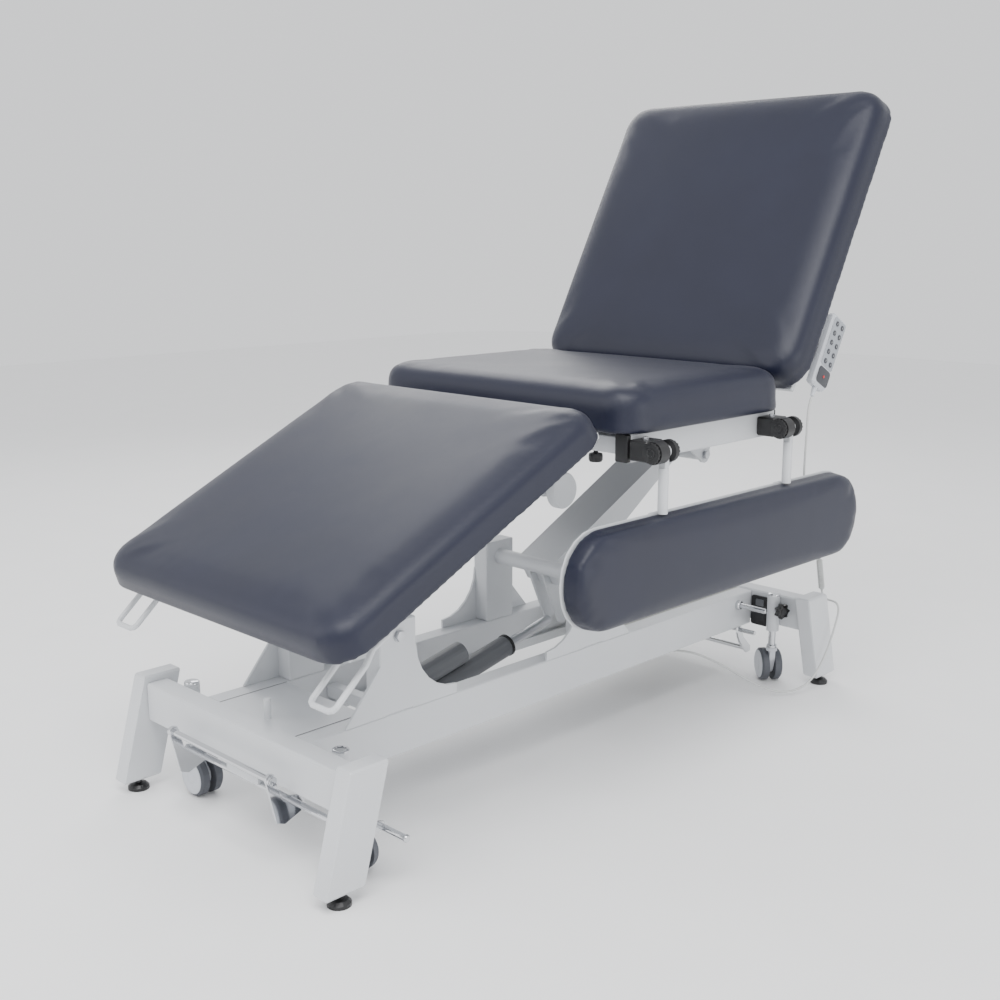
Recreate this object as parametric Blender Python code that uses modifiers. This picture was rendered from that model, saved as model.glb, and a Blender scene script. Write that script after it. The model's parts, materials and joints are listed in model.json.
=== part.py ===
"""Electric three-section examination table on retractable castors.

Metres, +Z up. +X runs from the foot end to the head end, -Y is the side with the drop-down
safety rail. Dimensions are given from the floor under the centre of the base frame; the finished
object is then moved so that its origin is the middle of its outer box.
"""
import math

import bmesh
import bpy
from mathutils import Matrix, Vector

# Driving dimensions of the base
BASE_HALF_WIDTH = 0.3227
LEG_THICKNESS = 0.0365
LEG_DEPTH = 0.0775
LEG_TOP_X = 0.693
LEG_FOOT_X = 0.747
LEG_TOP_Z = 0.2216
LEG_FOOT_Z = 0.0223
RAIL_OUTER_Y = 0.153
RAIL_WIDTH = 0.040
RAIL_LOW_Z = 0.126
RAIL_TOP_Z = 0.206
BEAM_INNER_X = 0.645
BEAM_OUTER_X = 0.690
BEAM_LOW_Z = 0.136
BEAM_TOP_Z = 0.209
GAP = 0.0003

# Castors
CASTOR_X = 0.6330
CASTOR_Y = 0.221
TUBE_RADIUS = 0.0145
BORE_RADIUS = 0.0095
STEM_RADIUS = 0.0085
WHEEL_RADIUS = 0.0375
WHEEL_WIDTH = 0.017
WHEEL_INNER = 0.0068
AXLE_HEIGHT = 0.0382
CASTOR_TRAIL = 0.020

# Lift linkage: two parallel arms between the base posts and the seat frame
BASE_PIVOT_X = 0.0715
LINK_PIVOT_X = -0.447
BASE_PIVOT_Z = 0.346
ARM_REACH = 0.3965
ARM_RISE = 0.203
SHAFT_RADIUS = 0.0165
LEVER_TIP = (0.125, 0.225)
ACTUATOR_FOOT = (-0.36, 0.120)

# Upholstered sections, given flat; the back and leg sections are then turned on their hinges
HALF_WIDTH = 0.355
BOARD_HALF_WIDTH = 0.318
SEAT_X = (-0.073, 0.449)
SEAT_Z = (0.673, 0.758)
BACK_X = (0.508, 1.206)
BACK_BOARD_Z = (0.673, 0.685)
BACK_THICKNESS = 0.075
BACK_HINGE = (0.494, 0.690)
BACK_ANGLE = 61.5
BACK_TRAVEL = 75.0
LEG_X = (-0.780, -0.100)
LEG_BOARD_Z = (0.683, 0.695)
LEG_CUSHION_THICKNESS = 0.064
LEG_HINGE = (-0.088, 0.665)
LEG_ANGLE = 25.9
CORNER_RADIUS = 0.065
EDGE_RADIUS = 0.034

# Safety rail on the near side, hanging down from two clamps on the seat frame
SEAT_RAIL_Y = (0.300, 0.330)
SEAT_RAIL_Z = (0.620, 0.6725)
SEAT_RAIL_X = (-0.038, 0.430)
SIDE_AXIS_Y = -0.385
SIDE_AXIS_Z = 0.645
SIDE_POST_X = (-0.012, 0.398)
SIDE_PAD_X = (-0.270, 0.660)
SIDE_PAD_Y = (-0.410, -0.370)
SIDE_PAD_Z = (0.345, 0.530)

BACK_ACTUATOR_Y = 0.170
BACK_ACTUATOR_FOOT = (0.100, 0.575)
BACK_ACTUATOR_TIP = (0.600, 0.615)
STRAP_LOOP_Y = (0.262, 0.320)
CORD_RADIUS = 0.0025
COIL_RADIUS = 0.0075
BOX_MIDDLE = (0.04583, -0.02750)

bpy.ops.object.select_all(action="DESELECT")
for old in list(bpy.data.objects):
    bpy.data.objects.remove(old, do_unlink=True)

parts = bpy.data.collections.new("exam_table")
bpy.context.scene.collection.children.link(parts)


def material(name, colour, roughness, metallic=0.0):
    """A plain Principled material."""
    made = bpy.data.materials.new(name)
    made.use_nodes = True
    shader = made.node_tree.nodes["Principled BSDF"]
    shader.inputs["Base Color"].default_value = (*colour, 1.0)
    shader.inputs["Roughness"].default_value = roughness
    shader.inputs["Metallic"].default_value = metallic
    return made


WHITE = material("white_powder_coat", (0.78, 0.79, 0.80), 0.35)
VINYL = material("navy_vinyl", (0.030, 0.035, 0.075), 0.42)
CHROME = material("chrome", (0.80, 0.80, 0.80), 0.12, 1.0)
STEEL = material("zinc_steel", (0.62, 0.62, 0.63), 0.35, 1.0)
BLACK = material("black_plastic", (0.015, 0.015, 0.016), 0.40)
WHEEL_GREY = material("wheel_grey", (0.22, 0.23, 0.26), 0.55)
LIGHT_PLASTIC = material("light_plastic", (0.62, 0.63, 0.64), 0.45)
ACTUATOR_GREY = material("actuator_grey", (0.30, 0.31, 0.33), 0.50)
CORD_GREY = material("cord_grey", (0.55, 0.56, 0.55), 0.50)


# ---------------------------------------------------------------- helpers
def add(name, mesh, coat, matrix=None):
    """Link a mesh as a part, flat shaded except across gentle bends."""
    mesh.name = name
    mesh.materials.clear()
    mesh.materials.append(coat)
    part = bpy.data.objects.new(name, mesh)
    if matrix is not None:
        part.matrix_world = matrix
    parts.objects.link(part)
    mesh.shade_smooth()
    mesh.set_sharp_from_angle(angle=math.radians(35))
    return part


def centred(mesh_data):
    """Move a mesh's middle to its own origin and return the matrix that puts it back."""
    corners = [vertex.co.copy() for vertex in mesh_data.vertices]
    low = Vector([min(c[k] for c in corners) for k in range(3)])
    high = Vector([max(c[k] for c in corners) for k in range(3)])
    middle = (low + high) / 2
    mesh_data.transform(Matrix.Translation(-middle))
    return Matrix.Translation(middle)


def box_mesh(low, high, bevel=0.0):
    """A box between two corners, with its edges rounded."""
    shape = bmesh.new()
    bmesh.ops.create_cube(shape, size=1.0)
    size = Vector(high) - Vector(low)
    bmesh.ops.scale(shape, vec=size, verts=shape.verts)
    bmesh.ops.translate(shape, vec=(Vector(high) + Vector(low)) / 2, verts=shape.verts)
    if bevel:
        bmesh.ops.bevel(shape, geom=shape.edges[:], offset=bevel, segments=1, affect="EDGES")
    mesh = bpy.data.meshes.new("box")
    shape.to_mesh(mesh)
    shape.free()
    return mesh


def rod_mesh(start, end, radius, sides=20, end_radius=None):
    """A round bar, or a cone, between two points."""
    start, end = Vector(start), Vector(end)
    along = end - start
    shape = bmesh.new()
    tip = radius if end_radius is None else end_radius
    bmesh.ops.create_cone(shape, cap_ends=True, segments=sides, radius1=radius, radius2=tip, depth=along.length)
    turn = along.to_track_quat("Z", "Y").to_matrix().to_4x4()
    bmesh.ops.transform(shape, matrix=Matrix.Translation((start + end) / 2) @ turn, verts=shape.verts)
    mesh = bpy.data.meshes.new("rod")
    shape.to_mesh(mesh)
    shape.free()
    return mesh


def plate_mesh(outline, y_low, y_high):
    """A flat plate: an outline of (x, z) points, given a thickness along Y."""
    curve = bpy.data.curves.new("outline", "CURVE")
    curve.dimensions = "2D"
    curve.fill_mode = "BOTH"
    curve.extrude = (y_high - y_low) / 2
    spline = curve.splines.new("POLY")
    spline.points.add(len(outline) - 1)
    for point, (x, z) in zip(spline.points, outline):
        point.co = (x, z, 0.0, 1.0)
    spline.use_cyclic_u = True
    holder = bpy.data.objects.new("outline", curve)
    parts.objects.link(holder)
    bpy.context.view_layer.update()
    mesh = bpy.data.meshes.new_from_object(holder.evaluated_get(bpy.context.evaluated_depsgraph_get()))
    bpy.data.objects.remove(holder, do_unlink=True)
    stand = Matrix.Translation((0, (y_low + y_high) / 2, 0)) @ Matrix.Rotation(math.radians(90), 4, "X")
    mesh.transform(stand)
    return weld(mesh)


def tube_mesh(points, radius, resolution=2, closed=False):
    """A round wire through the points, with filled ends."""
    curve = bpy.data.curves.new("wire", "CURVE")
    curve.dimensions = "3D"
    curve.bevel_depth = radius
    curve.bevel_resolution = resolution
    curve.use_fill_caps = True
    spline = curve.splines.new("POLY")
    spline.points.add(len(points) - 1)
    for point, place in zip(spline.points, points):
        point.co = (*place, 1.0)
    spline.use_cyclic_u = closed
    holder = bpy.data.objects.new("wire", curve)
    parts.objects.link(holder)
    bpy.context.view_layer.update()
    mesh = bpy.data.meshes.new_from_object(holder.evaluated_get(bpy.context.evaluated_depsgraph_get()))
    bpy.data.objects.remove(holder, do_unlink=True)
    return weld(mesh)


def weld(mesh):
    """Join doubled points and make every face point out."""
    shape = bmesh.new()
    shape.from_mesh(mesh)
    bmesh.ops.remove_doubles(shape, verts=shape.verts, dist=0.00002)
    bmesh.ops.recalc_face_normals(shape, faces=shape.faces)
    shape.to_mesh(mesh)
    shape.free()
    return mesh


def combined(name, coat, solids, holes=()):
    """Unite several solids into one part, and cut the holes from it."""
    body = add(name, solids[0], coat)
    tools = []
    for kind, meshes in (("UNION", solids[1:]), ("DIFFERENCE", holes)):
        for mesh in meshes:
            tool = bpy.data.objects.new("tool", mesh)
            parts.objects.link(tool)
            step = body.modifiers.new(kind.lower(), "BOOLEAN")
            step.operation = kind
            step.solver = "EXACT"
            step.object = tool
            tools.append(tool)
    bpy.context.view_layer.update()
    result = bpy.data.meshes.new_from_object(body.evaluated_get(bpy.context.evaluated_depsgraph_get()))
    for tool in tools:
        bpy.data.objects.remove(tool, do_unlink=True)
    bpy.data.objects.remove(body, do_unlink=True)
    weld(result)
    return add(name, result, coat, centred(result))


def box(name, low, high, coat, bevel=0.002):
    """A box part whose origin is at its middle."""
    mesh = box_mesh(low, high, bevel)
    return add(name, mesh, coat, centred(mesh))


def cushion_mesh(low, high, corner, edge):
    """An upholstered slab: round plan corners and a rounded upper edge."""
    shape = bmesh.new()
    bmesh.ops.create_cube(shape, size=1.0)
    bmesh.ops.scale(shape, vec=Vector(high) - Vector(low), verts=shape.verts)
    bmesh.ops.translate(shape, vec=(Vector(high) + Vector(low)) / 2, verts=shape.verts)
    upright = [e for e in shape.edges if abs(e.verts[0].co.z - e.verts[1].co.z) > 0.001]
    bmesh.ops.bevel(shape, geom=upright, offset=corner, segments=5, affect="EDGES", profile=0.5)
    rim = [e for e in shape.edges if min(v.co.z for v in e.verts) > high[2] - 0.0001]
    bmesh.ops.bevel(shape, geom=rim, offset=edge, segments=3, affect="EDGES", profile=0.5)
    mesh = bpy.data.meshes.new("cushion")
    shape.to_mesh(mesh)
    shape.free()
    return mesh


def pivot(name, place):
    """An empty on a joint axis, which the moving parts hang on."""
    marker = bpy.data.objects.new(name, None)
    marker.empty_display_size = 0.05
    marker.location = place
    bpy.context.scene.collection.objects.link(marker)
    bpy.context.view_layer.update()
    return marker


def hang(marker, *pieces):
    """Parent parts to a pivot without moving them."""
    bpy.context.view_layer.update()
    for piece in pieces:
        place = piece.matrix_world.copy()
        piece.parent = marker
        piece.matrix_parent_inverse = marker.matrix_world.inverted()
        piece.matrix_world = place


def circle(centre, radius, start, end, steps):
    """Points on an arc in the XZ plane, angles in degrees."""
    angles = [math.radians(start + (end - start) * k / steps) for k in range(steps + 1)]
    return [(centre[0] + radius * math.cos(a), centre[1] + radius * math.sin(a)) for a in angles]


def smooth_route(points, spacing):
    """Evenly spaced points on a smooth curve through the route's own points."""
    knots = [Vector(p) for p in points]
    ends = [knots[0] * 2 - knots[1]] + knots + [knots[-1] * 2 - knots[-2]]
    fine = []
    for a, b, c, d in zip(ends, ends[1:], ends[2:], ends[3:]):
        for k in range(20):
            t = k / 20
            fine.append(0.5 * (2 * b + (c - a) * t + (2 * a - 5 * b + 4 * c - d) * t ** 2
                               + (3 * b - a - 3 * c + d) * t ** 3))
    fine.append(knots[-1])
    lengths = [0.0]
    for a, b in zip(fine, fine[1:]):
        lengths.append(lengths[-1] + (b - a).length)
    count = max(2, round(lengths[-1] / spacing))
    route = []
    index = 0
    for k in range(count + 1):
        want = lengths[-1] * k / count
        while index < len(fine) - 2 and lengths[index + 1] < want:
            index += 1
        share = (want - lengths[index]) / (lengths[index + 1] - lengths[index])
        route.append(fine[index].lerp(fine[index + 1], share))
    return route


# ---------------------------------------------------------------- base frame
SIDES = (("near", -1), ("far", 1))
ENDS = (("foot", -1), ("head", 1))


def rails():
    for side, sign in SIDES:
        faces = sorted((sign * RAIL_OUTER_Y, sign * (RAIL_OUTER_Y - RAIL_WIDTH)))
        half = BEAM_INNER_X - GAP
        box(f"{side}_rail", (-half, faces[0], RAIL_LOW_Z), (half, faces[1], RAIL_TOP_Z), WHITE)


def crossbeams():
    """Each beam carries the two upright tubes that the castor stems slide in."""
    half = BASE_HALF_WIDTH - LEG_THICKNESS - GAP
    for end, sign in ENDS:
        faces = sorted((sign * BEAM_INNER_X, sign * BEAM_OUTER_X))
        solids = [box_mesh((faces[0], -half, BEAM_LOW_Z), (faces[1], half, BEAM_TOP_Z), 0.003)]
        bores = []
        for y in (-CASTOR_Y, CASTOR_Y):
            x = sign * CASTOR_X
            solids.append(rod_mesh((x, y, RAIL_LOW_Z), (x, y, BEAM_TOP_Z + 0.001), TUBE_RADIUS, 24))
            bores.append(rod_mesh((x, y, RAIL_LOW_Z - 0.01), (x, y, BEAM_TOP_Z + 0.01), BORE_RADIUS, 20))
        combined(f"{end}_crossbeam", WHITE, solids, bores)


def legs():
    """Flat box legs that splay outward along X."""
    for end, end_sign in ENDS:
        outline = [(end_sign * LEG_TOP_X, LEG_TOP_Z), (end_sign * (LEG_TOP_X - LEG_DEPTH), LEG_TOP_Z),
                   (end_sign * (LEG_FOOT_X - LEG_DEPTH), LEG_FOOT_Z), (end_sign * LEG_FOOT_X, LEG_FOOT_Z)]
        for side, side_sign in SIDES:
            faces = sorted((side_sign * BASE_HALF_WIDTH, side_sign * (BASE_HALF_WIDTH - LEG_THICKNESS)))
            mesh = plate_mesh(outline, *faces)
            leg = add(f"{side}_{end}_leg", mesh, WHITE, centred(mesh))
            rounding = leg.modifiers.new("edges", "BEVEL")
            rounding.width = 0.003
            rounding.segments = 1
            foot(side, end, end_sign * (LEG_FOOT_X - LEG_DEPTH / 2),
                 side_sign * (BASE_HALF_WIDTH - LEG_THICKNESS / 2))


def foot(side, end, x, y):
    """A levelling foot: a round pad with a short threaded stem."""
    profile = [(0.0, LEG_FOOT_Z - GAP), (0.007, LEG_FOOT_Z - GAP), (0.007, 0.013), (0.015, 0.011),
               (0.020, 0.006), (0.020, 0.0), (0.0, 0.0)]
    mesh = bpy.data.meshes.new("profile")
    mesh.from_pydata([(r, 0.0, z) for r, z in profile], [(k, k + 1) for k in range(len(profile) - 1)], [])
    holder = bpy.data.objects.new("profile", mesh)
    parts.objects.link(holder)
    turn = holder.modifiers.new("turn", "SCREW")
    turn.steps = 20
    turn.render_steps = 20
    turn.use_merge_vertices = True
    turn.merge_threshold = 0.0001
    bpy.context.view_layer.update()
    turned = bpy.data.meshes.new_from_object(holder.evaluated_get(bpy.context.evaluated_depsgraph_get()))
    bpy.data.objects.remove(holder, do_unlink=True)
    weld(turned)
    add(f"{side}_{end}_levelling_foot", turned, BLACK, Matrix.Translation((x, y, 0)))


def brackets():
    """Pivot posts on the rails, each with a gusset on either side."""
    low = RAIL_TOP_Z + GAP
    for side, sign in SIDES:
        outer = sign * RAIL_OUTER_Y
        inner = sign * (RAIL_OUTER_Y - RAIL_WIDTH)
        thin = sign * (RAIL_OUTER_Y - 0.005)
        for place, x0, x1, top, lean in (("mid", 0.031, 0.112, 0.380, 1), ("foot", -0.490, -0.407, 0.374, -1)):
            post = box_mesh((x0, min(outer, inner), low), (x1, max(outer, inner), top), 0.002)
            straight_x, curved_x = (x1, x0) if lean > 0 else (x0, x1)
            reach = lean * 0.078
            straight = [(straight_x - lean * 0.01, low), (straight_x + reach, low), (straight_x, low + 0.092),
                        (straight_x - lean * 0.01, low + 0.092)]
            start, end = (0, -90) if lean > 0 else (180, 270)
            bow = [(x, z) for x, z in circle((curved_x - reach * 1.25, low + 0.115), 0.0975, start, end, 6)
                   if z < low + 0.1151]
            curved = [(curved_x + lean * 0.01, low + 0.115)] + bow
            curved = [(x, max(z, low + 0.004)) for x, z in curved]
            curved += [(curved_x - reach * 1.25, low), (curved_x + lean * 0.01, low)]
            faces = sorted((outer, thin))
            combined(f"{side}_{place}_bracket", WHITE,
                     [post, plate_mesh(straight, *faces), plate_mesh(curved, *faces)])


def covers():
    """Flat covers between the rails at both ends; the foot one carries a short peg."""
    half = RAIL_OUTER_Y - RAIL_WIDTH - GAP
    top = RAIL_TOP_Z
    plate = box_mesh((-BEAM_INNER_X + GAP, -half, top - 0.005), (-0.497, half, top), 0.001)
    peg = rod_mesh((-0.628, -0.012, top - 0.003), (-0.628, -0.012, top + 0.036), 0.0065, 16)
    combined("foot_cover", WHITE, [plate, peg])
    box("head_cover", (0.205, -half, top - 0.005), (BEAM_INNER_X - GAP, half, top), WHITE, 0.001)


def control_box():
    """The power and control unit under the head cover."""
    case = box_mesh((0.300, -0.105, 0.128), (0.480, 0.040, 0.196), 0.004)
    gland = rod_mesh((0.398, -0.095, 0.112), (0.398, -0.095, 0.130), 0.006, 16)
    combined("control_box", BLACK, [case, gland])


def actuator_crossbar():
    """The bar between the rails that the lift actuator pushes from."""
    x, z = ACTUATOR_FOOT
    half = RAIL_OUTER_Y - RAIL_WIDTH - GAP
    bar = box_mesh((x - 0.045, -half, 0.152), (x - 0.020, half, 0.177), 0.002)
    cheeks = []
    for sign in (-1, 1):
        faces = sorted((sign * 0.016, sign * 0.021))
        cheek = [(x - 0.024, 0.160), (x + 0.012, z + 0.012), (x + 0.012, z - 0.012), (x - 0.012, z - 0.012),
                 (x - 0.041, 0.156)]
        cheeks.append(plate_mesh(cheek, *faces))
    combined("actuator_crossbar", WHITE, [bar] + cheeks)


# ---------------------------------------------------------------- castors and pedals
CASTOR_HEADINGS = {("near", "foot"): -75, ("far", "foot"): -90, ("near", "head"): 50, ("far", "head"): 35}


def castors():
    for (side, end), heading in CASTOR_HEADINGS.items():
        x = CASTOR_X if end == "head" else -CASTOR_X
        y = -CASTOR_Y if side == "near" else CASTOR_Y
        name = f"{side}_{end}"
        stem_axis = pivot(f"{name}_castor_axis", (x, y, 0.1))
        stem = rod_mesh((0, 0, 0.0853), (0, 0, 0.186), STEM_RADIUS)
        stem = add(f"{name}_castor_stem", stem, CHROME, Matrix.Translation((x, y, 0)))
        turn = Matrix.Rotation(math.radians(heading), 4, "Z")
        place = Matrix.Translation((x, y, 0)) @ turn
        yoke = castor_yoke(f"{name}_castor_yoke")
        yoke.matrix_world = place @ yoke.matrix_world
        wheels = castor_wheels(f"{name}_castor_wheels")
        wheels.matrix_world = place @ wheels.matrix_world
        hang(stem_axis, stem, yoke, wheels)


def castor_yoke(name):
    """Swivel head and centre web; the wheels run on either side of it."""
    head = rod_mesh((0, 0, 0.0770), (0, 0, 0.0850), 0.0125)
    neck = circle((CASTOR_TRAIL, AXLE_HEIGHT), 0.020, -150, 60, 9)
    web = plate_mesh([(-0.010, 0.079), (-0.008, 0.055)] + neck + [(0.010, 0.079)], -0.0064, 0.0064)
    bore = rod_mesh((CASTOR_TRAIL, -0.02, AXLE_HEIGHT), (CASTOR_TRAIL, 0.02, AXLE_HEIGHT), 0.0048, 16)
    return combined(name, LIGHT_PLASTIC, [head, web], [bore])


def castor_wheels(name):
    """Twin wheels joined by their axle."""
    solids = [rod_mesh((0, -0.012, 0), (0, 0.012, 0), 0.0040, 16)]
    for sign in (-1, 1):
        inner = sign * WHEEL_INNER
        outer = sign * (WHEEL_INNER + WHEEL_WIDTH)
        shoulder = sign * (WHEEL_INNER + WHEEL_WIDTH - 0.004)
        solids.append(rod_mesh((0, inner, 0), (0, shoulder, 0), WHEEL_RADIUS, 36))
        solids.append(rod_mesh((0, shoulder - sign * 0.0005, 0), (0, outer, 0), WHEEL_RADIUS - 0.0003, 36,
                               WHEEL_RADIUS - 0.004))
    wheels = combined(name, WHEEL_GREY, solids)
    wheels.matrix_world = Matrix.Translation((CASTOR_TRAIL, 0, AXLE_HEIGHT))
    return wheels


FOOT_PEDAL_AXIS = (-0.668, 0.105)
HEAD_PEDAL_AXIS = (0.608, 0.1165)


def pedals():
    x, z = FOOT_PEDAL_AXIS
    shaft = rod_mesh((x, -0.279, z), (x, 0.190, z), 0.006, 16)
    bar = rod_mesh((-0.720, -0.150, 0.162), (-0.720, 0.150, 0.162), 0.0055, 16)
    solids = [shaft, bar]
    lever = [(-0.7285, 0.160), (-0.7285, 0.168), (-0.722, 0.1735), (-0.714, 0.171), (-0.702, 0.128),
             (-0.656, 0.117), (-0.654, 0.094), (-0.695, 0.078), (-0.711, 0.084)]
    for sign in (-1, 1):
        solids.append(plate_mesh(lever, *sorted((sign * 0.143, sign * 0.148))))
        solids.append(rod_mesh((-0.720, sign * 0.141, 0.162), (-0.720, sign * 0.1535, 0.162), 0.0085, 16))
    crank = [(-0.676, 0.112), (-0.660, 0.114), (-0.592, 0.092), (-0.592, 0.080), (-0.606, 0.0775), (-0.676, 0.097)]
    solids.append(plate_mesh(crank, -0.2795, -0.2735))
    solids.append(rod_mesh((-0.599, -0.276, 0.086), (-0.599, -0.338, 0.086), 0.0055, 16))
    foot_pedal = combined("foot_pedal", CHROME, solids)
    hang(pivot("foot_pedal_axis", (x, 0, z)), foot_pedal)

    x, z = HEAD_PEDAL_AXIS
    shaft = rod_mesh((x, -0.190, z), (x, 0.190, z), 0.005, 16)
    bar = rod_mesh((0.646, -0.148, 0.060), (0.646, 0.148, 0.060), 0.0055, 16)
    solids = [shaft, bar]
    lever = [(0.602, 0.1225), (0.6145, 0.1225), (0.626, 0.094), (0.655, 0.066), (0.655, 0.054), (0.640, 0.052),
             (0.611, 0.084), (0.600, 0.110)]
    for sign in (-1, 1):
        solids.append(plate_mesh(lever, *sorted((sign * 0.143, sign * 0.148))))
    head_pedal = combined("head_pedal", CHROME, solids)
    hang(pivot("head_pedal_axis", (x, 0, z)), head_pedal)

    box("castor_link_bar", (-0.640, 0.1005, 0.124), (0.590, 0.1065, 0.144), WHITE, 0.001)


# ---------------------------------------------------------------- lift linkage
UPPER_X = BASE_PIVOT_X + ARM_REACH
UPPER_LINK_X = LINK_PIVOT_X + ARM_REACH
UPPER_Z = BASE_PIVOT_Z + ARM_RISE
SHAFT_HALF = RAIL_OUTER_Y - RAIL_WIDTH - GAP
HANGER_Y = (0.126, 0.132)


def lift_arm():
    """Box arm with its base shaft, upper shaft and the lever that the actuator pushes."""
    along = Vector((ARM_REACH, 0, ARM_RISE)).normalized()
    up = Vector((-along.z, 0, along.x))
    base = Vector((BASE_PIVOT_X, 0, BASE_PIVOT_Z))
    top = Vector((UPPER_X, 0, UPPER_Z))
    outline = [base - along * 0.004 + up * 0.015, top + along * 0.014 + up * 0.015,
               top + along * 0.014 - up * 0.015, base + along * 0.15 - up * 0.052, base - up * 0.045]
    arm = plate_mesh([(p.x, p.z) for p in outline], -0.050, 0.050)
    shaft = rod_mesh((base.x, -SHAFT_HALF, base.z), (base.x, SHAFT_HALF, base.z), SHAFT_RADIUS, 24)
    upper = rod_mesh((top.x, -0.1255, top.z), (top.x, 0.1255, top.z), 0.014, 24)
    tip = Vector((LEVER_TIP[0], 0, LEVER_TIP[1]))
    solids = [arm, shaft, upper]
    for sign in (-1, 1):
        lever = [(base.x - 0.016, base.z), (base.x + 0.05, base.z - 0.02), (tip.x + 0.014, tip.z),
                 (tip.x + 0.004, tip.z - 0.013), (tip.x - 0.011, tip.z - 0.007)]
        solids.append(plate_mesh(lever, *sorted((sign * 0.016, sign * 0.022))))
    arm = combined("lift_arm", WHITE, solids)
    hang(pivot("lift_axis", base), arm)


def second_link():
    """The lighter parallel arm under the leg section that keeps the seat level."""
    along = Vector((ARM_REACH, 0, ARM_RISE)).normalized()
    up = Vector((-along.z, 0, along.x))
    base = Vector((LINK_PIVOT_X, 0, BASE_PIVOT_Z))
    top = Vector((UPPER_LINK_X, 0, UPPER_Z))
    outline = [base - along * 0.01 + up * 0.014, top + along * 0.01 + up * 0.014,
               top + along * 0.01 - up * 0.014, base - along * 0.01 - up * 0.014]
    solids = [plate_mesh([(p.x, p.z) for p in outline], -0.030, 0.030),
              rod_mesh((base.x, -SHAFT_HALF, base.z), (base.x, SHAFT_HALF, base.z), SHAFT_RADIUS, 24),
              rod_mesh((top.x, -0.1255, top.z), (top.x, 0.1255, top.z), 0.014, 24)]
    link = combined("second_link", WHITE, solids)
    hang(pivot("second_link_axis", base), link)


def lift_actuator():
    """Linear actuator: motor and outer tube on the crossbar, rod at the lever of the arm."""
    foot_point = Vector((ACTUATOR_FOOT[0], 0, ACTUATOR_FOOT[1]))
    tip = Vector((LEVER_TIP[0], 0, LEVER_TIP[1]))
    along = (tip - foot_point).normalized()
    down = Vector((along.z, 0, -along.x))
    eye = rod_mesh(foot_point - along * 0.008, foot_point + along * 0.06, 0.0125, 20)
    tube = rod_mesh(foot_point + along * 0.05, foot_point + along * 0.34, 0.022, 24)
    gearbox = rod_mesh(foot_point + along * 0.045, foot_point + along * 0.10, 0.029, 24)
    motor = rod_mesh(foot_point + along * 0.085 - down * 0.043, foot_point + along * 0.22 - down * 0.043, 0.023, 24)
    neck = rod_mesh(foot_point + along * 0.072 + down * 0.010, foot_point + along * 0.072 - down * 0.060, 0.018, 20)
    body = combined("lift_actuator", ACTUATOR_GREY, [tube, eye, gearbox, neck, motor],
                    [rod_mesh(foot_point + along * 0.285, foot_point + along * 0.36, 0.0117, 20)])
    hang(pivot("lift_actuator_axis", foot_point), body)
    rod = rod_mesh(foot_point + along * 0.306, tip - along * 0.022, 0.0105, 20)
    rod = add("lift_actuator_rod", rod, STEEL, centred(rod))
    hang(pivot("lift_rod_axis", tip), rod)


# ---------------------------------------------------------------- seat section
def seat_frame():
    """Welded frame: side rails, two cross tubes, hinge ears and the hangers of both arms."""
    x0, x1 = SEAT_RAIL_X
    z0, z1 = SEAT_RAIL_Z
    solids = []
    for sign in (-1, 1):
        y0, y1 = sorted((sign * SEAT_RAIL_Y[0], sign * SEAT_RAIL_Y[1]))
        solids.append(box_mesh((x0, y0, z0), (x1, y1, z1), 0.002))
    solids.append(box_mesh((x0 + 0.002, -0.305, 0.632), (x0 + 0.034, 0.305, 0.664), 0.0015))
    solids.append(box_mesh((0.360, -0.305, 0.634), (0.392, 0.305, 0.666), 0.0015))
    back_ear = [(0.370, 0.640), (0.370, 0.664), (0.462, 0.667), (0.474, 0.680)]
    back_ear += circle(BACK_HINGE, 0.011, 165, -10, 6) + [(0.494, 0.672), (0.482, 0.655), (0.440, 0.638)]
    leg_ear = [(-0.020, 0.641), (-0.020, 0.655), (-0.070, 0.6700), (-0.079, 0.674)]
    leg_ear += circle(LEG_HINGE, 0.010, 70, 240, 6) + [(-0.070, 0.648)]
    arm_hanger = [(0.364, 0.650), (0.388, 0.650), (0.487, 0.562)]
    arm_hanger += circle((UPPER_X, UPPER_Z), 0.019, 30, -150, 6) + [(0.364, 0.600)]
    link_hanger = [(-0.034, 0.650), (-0.006, 0.650), (-0.030, 0.556)]
    link_hanger += circle((UPPER_LINK_X, UPPER_Z), 0.019, 10, -170, 6) + [(-0.060, 0.600)]
    for sign in (-1, 1):
        ear_y = sorted((sign * 0.196, sign * 0.204))
        hanger_y = sorted((sign * HANGER_Y[0], sign * HANGER_Y[1]))
        solids.append(plate_mesh(back_ear, *ear_y))
        solids.append(plate_mesh(leg_ear, *ear_y))
        solids.append(plate_mesh(arm_hanger, *hanger_y))
        solids.append(plate_mesh(link_hanger, *hanger_y))
    solids.append(plate_mesh([(0.062, 0.637), (0.138, 0.637), (0.112, 0.566), (0.088, 0.566)], 0.187, 0.193))
    solids.append(box_mesh((0.056, 0.183, 0.632), (0.144, 0.305, 0.640), 0.001))
    return combined("seat_frame", WHITE, solids)


def seat_cushion():
    mesh = cushion_mesh((SEAT_X[0], -HALF_WIDTH, SEAT_Z[0]), (SEAT_X[1], HALF_WIDTH, SEAT_Z[1]),
                        CORNER_RADIUS, EDGE_RADIUS)
    return add("seat_cushion", mesh, VINYL, centred(mesh))


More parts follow.
